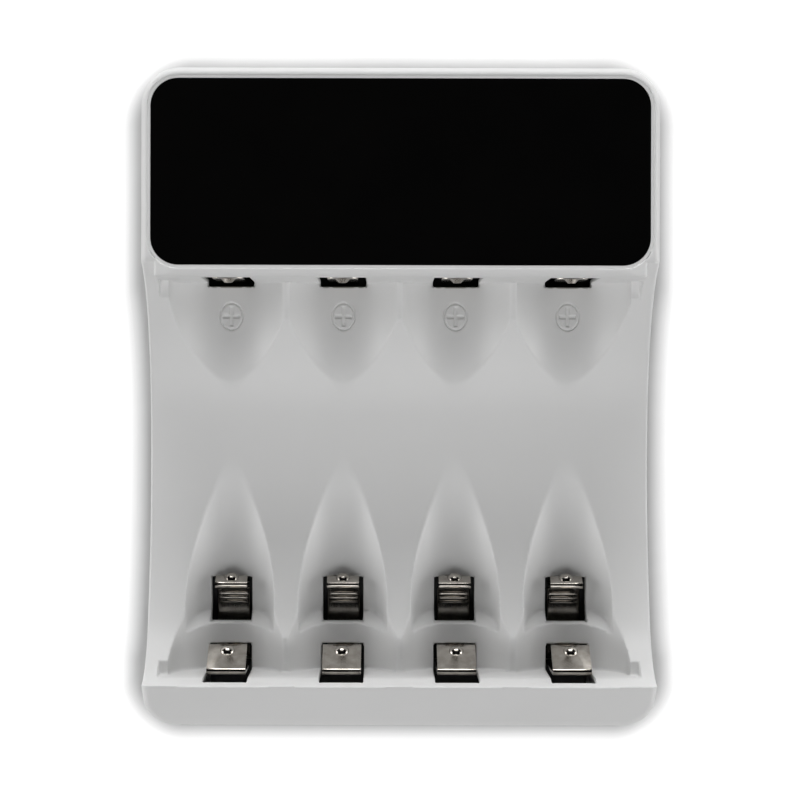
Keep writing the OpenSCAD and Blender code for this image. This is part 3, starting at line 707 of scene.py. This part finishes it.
@dataclass
class FieldMesher:
    """Makes a mesh of quads from a distance field on a grid with uneven steps.

    Attributes:
        distance: the field, negative inside, in millimetres.
        axes: the grid's ticks on X, Y and Z.
        rounds: how often the points are moved towards the surface.
        longest: the longest share of the slope that a point moves at once.
        least: the least square of the slope that counts.
        reach: how far round a point the slope is measured, for its place and for its normal.
    """

    distance: Callable[[Array, Array, Array], Array]
    axes: tuple[Array, Array, Array]
    rounds: int = 3
    longest: float = 0.1
    least: float = 0.2
    reach: Pair = (0.01, 0.04)

    def build(self) -> tuple[Array, Array]:
        """Finds the surface.

        Returns:
            The points and the quads.
        """
        xs, ys, zs = self.axes
        values = self.distance(xs[:, None, None], ys[None, :, None], zs[None, None, :])
        inside = values < 0.0
        cells = tuple(n - 1 for n in values.shape)
        count = np.zeros(cells, dtype=np.int8)
        for i in (0, 1):
            for j in (0, 1):
                for k in (0, 1):
                    count += inside[i:i + cells[0], j:j + cells[1], k:k + cells[2]]
        active = (count > 0) & (count < 8)
        index = np.full(cells, -1, dtype=np.int64)
        index[active] = np.arange(np.count_nonzero(active))
        points = self.settle(self.crossings(values, np.argwhere(active)))
        return points, self.quads(inside, index)

    def crossings(self, values: Array, cells: Array) -> Array:
        """Puts a point in each cell, at the mean of where the surface crosses its edges.

        Args:
            values: the field on the grid.
            cells: index of each cell that the surface passes.

        Returns:
            One point for each cell.
        """
        total, hits = np.zeros((len(cells), 3)), np.zeros(len(cells))
        for axis in range(3):
            for a in (0, 1):
                for b in (0, 1):
                    first = cells.copy()
                    first[:, (axis + 1) % 3] += a
                    first[:, (axis + 2) % 3] += b
                    second = first.copy()
                    second[:, axis] += 1
                    f0, f1 = values[tuple(first.T)], values[tuple(second.T)]
                    cross = (f0 < 0.0) != (f1 < 0.0)
                    t = np.where(cross, f0 / np.where(cross, f0 - f1, 1.0), 0.0)
                    p0, p1 = self.place(first), self.place(second)
                    total += np.where(cross[:, None], p0 + t[:, None] * (p1 - p0), 0.0)
                    hits += cross
        return total / hits[:, None]

    def place(self, corner: Array) -> Array:
        """Returns the coordinates of grid corners."""
        return np.stack([self.axes[n][corner[:, n]] for n in range(3)], axis=1)

    def slope(self, points: Array, eps: float) -> Array:
        """Returns the field's slope at points, by differences over twice eps."""
        parts = []
        for axis in range(3):
            step = np.zeros(3)
            step[axis] = eps
            parts.append(self.distance(*(points + step).T) - self.distance(*(points - step).T))
        return np.stack(parts, axis=1) / (2.0 * eps)

    def settle(self, points: Array) -> Array:
        """Moves points onto the surface in a few short steps."""
        for _ in range(self.rounds):
            slope = self.slope(points, self.reach[0])
            square = np.maximum(np.sum(slope * slope, axis=1), self.least)
            move = -self.distance(*points.T) / square
            points = points + np.clip(move, -self.longest, self.longest)[:, None] * slope
        return points

    def normals(self, points: Array) -> Array:
        """Returns the surface's unit normals at points."""
        slope = self.slope(points, self.reach[1])
        return slope / np.maximum(np.linalg.norm(slope, axis=1), TINY)[:, None]

    @staticmethod
    def quads(inside: Array, index: Array) -> Array:
        """Joins the cells round each grid edge that leaves the solid.

        Args:
            inside: whether each grid corner is inside.
            index: number of the point in each cell.

        Returns:
            The quads, all facing outwards.
        """
        found = []
        for axis in range(3):
            b, c = (axis + 1) % 3, (axis + 2) % 3
            low = np.take(inside, range(0, inside.shape[axis] - 1), axis=axis)
            high = np.take(inside, range(1, inside.shape[axis]), axis=axis)
            edges = np.argwhere(low != high)
            ring = []
            for step_b, step_c in ((-1, -1), (0, -1), (0, 0), (-1, 0)):
                cell = edges.copy()
                cell[:, b] += step_b
                cell[:, c] += step_c
                ring.append(index[tuple(cell.T)])
            quads = np.stack(ring, axis=1)
            leaves = low[tuple(edges.T)]
            found.append(np.where(leaves[:, None], quads, quads[:, ::-1]))
        return np.concatenate(found)

    @staticmethod
    def thin(points: Array, quads: Array, triangles: int) -> tuple[Array, list[list[int]]]:
        """Merges faces where the surface hardly turns.

        Args:
            points: the points.
            quads: the faces.
            triangles: how many triangles are to be left.

        Returns:
            The points that are left and the faces between them.
        """
        mesh = bpy.data.meshes.new("raw_skin")
        mesh.from_pydata(points.tolist(), [], quads.tolist())
        raw = link("raw_skin", mesh)
        raw.modifiers.new("thin", "DECIMATE").ratio = triangles / (2 * len(quads))
        left = raw.evaluated_get(bpy.context.evaluated_depsgraph_get()).to_mesh()
        kept = np.empty(3 * len(left.vertices), dtype=np.float32)
        left.vertices.foreach_get("co", kept)
        faces = [list(face.vertices) for face in left.polygons]
        bpy.data.objects.remove(raw)
        bpy.data.meshes.remove(mesh)
        return kept.reshape(-1, 3).astype(float), faces


def ticks(*runs: Run) -> Array:
    """Makes a grid's ticks from runs with a step each.

    Args:
        runs: start, end and largest step of each run, one after the other.

    Returns:
        The ticks in rising order.
    """
    counts = [max(math.ceil((end - start) / step), 1) for start, end, step in runs]
    parts = [np.linspace(run[0], run[1], count, endpoint=False) for run, count in zip(runs, counts)]
    return np.append(np.concatenate(parts), runs[-1][1])


@dataclass
class HousingSkin:
    """The housing's soft skin, which stands in for the CAD solid.

    Attributes:
        form: the housing's form.
        finish: its finish.
        triangles: how many triangles the skin has.
        half_runs: start, end and step of the grid's runs on X from the middle outwards.
        long_runs: the same on Y.
        high_runs: the same on Z.
        offset: shift of the ticks on each axis, which keeps them off the form's own planes.
    """

    form: HousingForm = field(default_factory=HousingForm)
    finish: Finish = HOUSING_WHITE
    triangles: int = 192000
    half_runs: tuple[Run, ...] = (
        (0.0, 5.8, 0.36), (5.8, 9.65, 0.13), (9.65, 21.25, 0.36), (21.25, 25.1, 0.13), (25.1, 28.2, 0.36),
        (28.2, 32.6, 0.3), (32.6, 34.8, 0.18))
    long_runs: tuple[Run, ...] = (
        (-44.6, -38.6, 0.3), (-38.6, -36.6, 0.16), (-36.6, -23.6, 0.34), (-23.6, -8.0, 0.4), (-8.0, 2.0, 0.6),
        (2.0, 9.5, 0.36), (9.5, 13.9, 0.13), (13.9, 15.2, 0.36), (15.2, 18.6, 0.24), (18.6, 38.4, 1.2),
        (38.4, 42.0, 0.32), (42.0, 44.6, 0.18))
    high_runs: tuple[Run, ...] = ((2.9, 7.2, 0.4), (7.2, 19.4, 0.34), (19.4, 26.2, 0.5), (26.2, 28.2, 0.17))
    offset: Point = (0.003, 0.002, 0.001)

    def axes(self) -> tuple[Array, Array, Array]:
        """Returns the grid's ticks, fine where the edges are tight."""
        half = ticks(*self.half_runs)
        x = np.concatenate([-half[:0:-1], half])
        y, z = ticks(*self.long_runs), ticks(*self.high_runs)
        return x + self.offset[0], y + self.offset[1], z + self.offset[2]

    def build(self) -> None:
        """Builds the skin and lets it replace the CAD housing."""
        mesher = FieldMesher(self.form.distance, self.axes())
        points, faces = mesher.thin(*mesher.build(), self.triangles)
        normals = mesher.normals(points)
        mesh = bpy.data.meshes.new("housing_skin")
        mesh.from_pydata((points * MM).tolist(), [], faces)
        mesh.shade_smooth()
        mesh.normals_split_custom_set_from_vertices(normals.tolist())
        obj = link("housing_skin", mesh)
        dress(obj, self.finish)
        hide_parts("top_housing")
        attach(obj, BODY)
        LOG.info("built housing_skin with %d faces", len(faces))


@dataclass
class LeafDimples:
    """The pressed dimples of one row of leaves, as smooth domes over the plain ones.

    Attributes:
        leaf: name of the leaves' bodies without the number.
        bend: middle of the leaf's bend in Y and Z, in millimetres.
        tip: the free edge in Y and Z.
        lift: distance of the dimple from the free edge.
        bend_r: radius of the bend.
        size: radius and height of the dome from the middle of the sheet.
        pitch: distance between two bays.
        around: points round the dome.
        rings: rings from its foot to its top.
        angle: edges sharper than this, in degrees, stay sharp.
        finish: the leaves' finish.
    """

    leaf: str
    bend: Pair
    tip: Pair
    lift: float
    bend_r: float = 0.3
    size: Pair = (1.02, 0.82)
    pitch: float = HousingForm.pitch
    around: int = 32
    rings: int = 9
    angle: float = 40.0
    finish: Finish = NICKEL

    def dome(self) -> tuple[Array, list[list[int]]]:
        """Builds one dome round the origin, which points along +Z.

        Returns:
            Its points and faces.
        """
        around, rings = self.around, self.rings
        wide, high = self.size
        a = np.linspace(0.0, 2.0 * math.pi, around, endpoint=False)
        rows = []
        for turn in np.linspace(0.0, math.pi / 2, rings)[:-1]:
            r = wide * math.cos(turn)
            level = np.full(around, high * math.sin(turn))
            rows.append(np.column_stack([r * np.cos(a), r * np.sin(a), level]))
        points = np.concatenate([*rows, [[0.0, 0.0, high]]])
        faces = [list(range(around - 1, -1, -1))]
        for row in range(rings - 2):
            for i in range(around):
                j = (i + 1) % around
                low, upper = row * around, (row + 1) * around
                faces.append([low + i, low + j, upper + j, upper + i])
        top, last = len(points) - 1, (rings - 2) * around
        faces += [[last + i, last + (i + 1) % around, top] for i in range(around)]
        return points, faces

    def build(self) -> None:
        """Builds the four domes, each on its leaf."""
        run = (self.tip[0] - self.bend[0], self.tip[1] - self.bend[1])
        turn = math.atan2(run[0], -run[1]) - math.asin(self.bend_r / math.hypot(*run))
        cos, sin = math.cos(turn), math.sin(turn)
        spot = (self.tip[0] - self.lift * sin, self.tip[1] + self.lift * cos)
        points, faces = self.dome()
        x, y, z = points.T
        y, z = spot[0] + z * cos - y * sin, spot[1] + z * sin + y * cos
        for bay in range(BAYS):
            name = f"{self.leaf}_dimple_{bay + 1}"
            mesh = bpy.data.meshes.new(name)
            placed = np.column_stack([-x + (bay - (BAYS - 1) / 2) * self.pitch, y, z])
            mesh.from_pydata((placed * MM).tolist(), [], faces)
            obj = link(name, mesh)
            dress(obj, self.finish)
            smooth_by_angle(obj, self.angle)
            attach(obj, f"{self.leaf}_{bay + 1}")
            LOG.info("built %s", name)


@dataclass(frozen=True)
class Lamp:
    """A soft square lamp that points at the charger.

    Attributes:
        name: its name.
        side: the side that it stands on.
        elevation: its height over the table in degrees.
        power: its power in watts.
        size: its width in metres.
        reach: its distance in metres.
    """

    name: str
    side: Side
    elevation: float
    power: float
    size: float = 0.7
    reach: float = 1.0

    def build(self) -> None:
        """Adds the lamp."""
        light = bpy.data.lights.new(self.name, "AREA")
        light.size = self.size
        light.energy = self.power
        turn, rise = math.radians(self.side.value), math.radians(self.elevation)
        ray = Vector((math.cos(turn) * math.cos(rise), math.sin(turn) * math.cos(rise), math.sin(rise)))
        obj = link(self.name, light)
        obj.location = ray * self.reach
        obj.rotation_euler = (-ray).to_track_quat("-Z", "Y").to_euler()


LAMPS = (
    Lamp("head_low", Side.HEAD, elevation=8.0, power=9.8),
    Lamp("head_mid", Side.HEAD, elevation=25.0, power=1.5),
    Lamp("foot_mid", Side.FOOT, elevation=52.0, power=4.4),
    Lamp("left_low", Side.LEFT, elevation=8.0, power=6.0),
    Lamp("right_low", Side.RIGHT, elevation=8.0, power=5.8),
)


@dataclass
class Studio:
    """The floor, the lights and the camera.

    Attributes:
        eye: place of the camera, in metres.
        lens: its focal length in millimetres.
        sensor: width of its sensor in millimetres.
        shift: sideways shift of its picture.
        roll: its turn about the view, in degrees.
        clip: nearest distance that it shows, in metres.
        floor_half: half the width of the floor, in metres.
        floor_drop: gap between the floor and the charger's base, in metres.
        floor_fine: half width and half length of its finely meshed middle, in millimetres.
        floor_strip: start and end in Y of its strip of finer faces along the foot's end.
        floor_cell: width of the faces in the middle and in the strip.
        floor_rough: its roughness.
        floor_specular: level of its plain reflection.
        floor_grey: the floor's grey, and its darker grey in the painted shadow line along the foot's end.
        floor_glow: added brightness where the floor is seen or in gloss, low at the housing as a painted
            shade and high where open.
        painted_shade_width: width of the soft shade painted round the housing, in millimetres.
        spread: how much further it reaches for each millimetre of the housing's height.
        levels: number of heights at which the housing's painted shade is measured.
        seam: width of the painted dark shadow line along the foot's end, the darkest part of that shade.
        seam_y: where that painted line starts and is full, towards the foot.
        seam_x: where it starts and is full, from the sides inwards.
        form: the housing round which the floor's shade is painted.
        sky: brightness of the room.
        lamps: the lamps.
    """

    eye: Point = (-0.0021, 0.0002, 0.3504)
    lens: float = 110.8
    sensor: float = 36.0
    shift: float = 0.0199
    roll: float = 0.14
    clip: float = 0.01
    floor_half: float = 3.0
    floor_drop: float = 0.00002
    floor_fine: Pair = (48.0, 54.0)
    floor_strip: Pair = (-48.0, -45.0)
    floor_cell: Pair = (0.6, 0.12)
    floor_rough: float = 0.9
    floor_specular: float = 0.1
    floor_grey: Pair = (0.48, 0.12)
    floor_glow: Pair = (0.075, 0.78)
    painted_shade_width: float = 2.9
    spread: float = 0.118
    levels: int = 26
    seam: float = 0.6
    seam_y: Pair = (43.5, 44.5)
    seam_x: Pair = (35.0, 32.0)
    form: HousingForm = field(default_factory=HousingForm)
    sky: float = 0.004
    lamps: tuple[Lamp, ...] = LAMPS

    def build(self) -> None:
        """Builds the whole stage."""
        self.floor()
        self.world()
        for lamp in self.lamps:
            lamp.build()
        self.camera()
        bpy.context.scene.view_settings.view_transform = "Standard"
        LOG.info("set up the floor, %d lamps and the camera", len(self.lamps))

    def clearance(self, x: Array, y: Array) -> Array:
        """Measures how clear of the housing the floor is, less where the housing beside it is tall.

        Args:
            x, y: points of the floor in millimetres.

        Returns:
            The smallest gap in millimetres, after what the painted shade gains with height.
        """
        heights = np.linspace(self.form.part_h, self.form.body_h, self.levels)
        return np.min([self.form.distance(x, y, z + 0.0 * x) - self.spread * z for z in heights], axis=0)

    def shade(self, x: Array, y: Array) -> dict[str, Array]:
        """Works out the shade painted on the floor round the housing.

        Args:
            x, y: points of the floor in millimetres.

        Returns:
            The glow with its painted shade and the painted line's strength, by the names the material reads.
        """
        gap = self.clearance(x, y)
        low, high = self.floor_glow
        # A line of painted shadow darkens the floor along the foot's end, close to the housing.
        seam = np.clip(1.0 - gap / self.seam, 0.0, 1.0) * ramp(-y, *self.seam_y)
        seam = seam * ramp(np.abs(x), *self.seam_x)
        # The glow is lowered close to the housing, a painted shade that stands in for its contact shadow.
        bright = (low + (high - low) * np.clip(gap / self.painted_shade_width, 0.0, 1.0)) * (1.0 - seam)
        return {"bright": bright, "seam": seam}

    def floor(self) -> None:
        """Makes the pale floor, white to the camera, which keeps the shadow and has a shade painted round the
        housing.
        """
        h = self.floor_half / MM
        (wide, long), (start, end), (cell, fine) = self.floor_fine, self.floor_strip, self.floor_cell
        xs = ticks((-h, -wide, h), (-wide, wide, cell), (wide, h, h))
        ys = ticks((-h, -long, h), (-long, start, cell), (start, end, fine), (end, long, cell), (long, h, h))
        x, y = np.meshgrid(xs, ys, indexing="ij")
        points = np.stack([x * MM, y * MM, 0.0 * x - self.floor_drop], axis=2).reshape(-1, 3)
        index = np.arange(x.size).reshape(x.shape)
        quads = np.stack([index[:-1, :-1], index[1:, :-1], index[1:, 1:], index[:-1, 1:]], axis=2)
        mesh = bpy.data.meshes.new("floor")
        mesh.from_pydata(points.tolist(), [], quads.reshape(-1, 4).tolist())
        for name, values in self.shade(x, y).items():
            layer = mesh.attributes.new(name, "FLOAT", "POINT")
            layer.data.foreach_set("value", values.ravel().astype(np.float32))
        mesh.materials.append(self.floor_material())
        link("floor", mesh)

    def floor_material(self) -> bpy.types.Material:
        """Makes the floor's material, with a glow where it is seen directly, in gloss or through glass, and a
        painted shade.

        Returns:
            The material.
        """
        board = NodeBoard("floor_pale")
        # Reads the painted shadow line, which darkens the floor's grey along the foot's end.
        line = board.add("ShaderNodeAttribute", attribute_name="seam")
        grey = [(tone,) * 3 for tone in self.floor_grey]
        board.join(board.tint(line.outputs["Fac"], *grey), board.shader.inputs["Base Color"])
        board.shader.inputs["Roughness"].default_value = self.floor_rough
        board.shader.inputs["Specular IOR Level"].default_value = self.floor_specular
        path = board.add("ShaderNodeLightPath")
        seen = board.blend(Blend.LARGER, path.outputs["Is Camera Ray"], path.outputs["Is Glossy Ray"])
        seen = board.blend(Blend.LARGER, seen, path.outputs["Is Transmission Ray"])
        # Reads the painted shade, which lowers the floor's glow round the housing.
        shade = board.add("ShaderNodeAttribute", attribute_name="bright")
        glow = board.add("ShaderNodeEmission")
        board.join(board.blend(Blend.PRODUCT, seen, shade.outputs["Fac"]), glow.inputs["Strength"])
        both = board.add("ShaderNodeAddShader")
        board.join(board.shader.outputs[0], both.inputs[0])
        board.join(glow.outputs[0], both.inputs[1])
        board.join(both.outputs[0], board.output.inputs["Surface"])
        return board.material

    def world(self) -> None:
        """Lights the room with an even pale sky."""
        world = bpy.data.worlds.new("studio")
        bpy.context.scene.world = world
        world.use_nodes = True
        sky = world.node_tree.nodes["Background"]
        sky.inputs["Color"].default_value = (1.0, 1.0, 1.0, 1.0)
        sky.inputs["Strength"].default_value = self.sky

    def camera(self) -> None:
        """Puts the camera straight above, as in the photograph."""
        cam = bpy.data.cameras.new("camera")
        cam.lens = self.lens
        cam.sensor_width = self.sensor
        cam.shift_x = self.shift
        cam.clip_start = self.clip
        obj = link("camera", cam)
        obj.location = self.eye
        obj.rotation_euler = (0.0, 0.0, math.radians(self.roll))
        bpy.context.scene.camera = obj


def main() -> None:
    """Builds and dresses the charger and its stage."""
    logging.basicConfig(level=logging.INFO)
    HousingSkin().build()
    CadPieces({
        "bottom_cover": HOUSING_WHITE,
        "display_panel": PANEL_BLACK,
        "display_frame": FRAME_WHITE,
        "display_board": BOARD_BLACK,
        "main_board": BOARD_BLACK,
        "indicator_leds": LED_LENS,
        "usb_shell": SOCKET_STEEL,
        "usb_tongue": BLACK_PLASTIC,
        "controller_chip": BLACK_PLASTIC,
        "charge_chips": BLACK_PLASTIC,
        "inductor": FERRITE,
        "capacitors": CAN_ALUMINIUM,
        "header_pins": PIN_BRASS,
        "header_bar": BLACK_PLASTIC,
        "cover_screws": SCREW_STEEL,
        "positive_contact_": NICKEL,
        "contact_base_": NICKEL,
        "aa_contact_": NICKEL,
        "aaa_contact_": NICKEL,
    }).dress()
    LeafDimples("aa_leaf", bend=(-36.1, 20.9), tip=(-33.1, 16.6), lift=1.4).build()
    LeafDimples("aaa_leaf", bend=(-25.35, 10.0), tip=(-24.35, 8.6), lift=0.6).build()
    Studio().build()


if __name__ == "__main__":
    main()
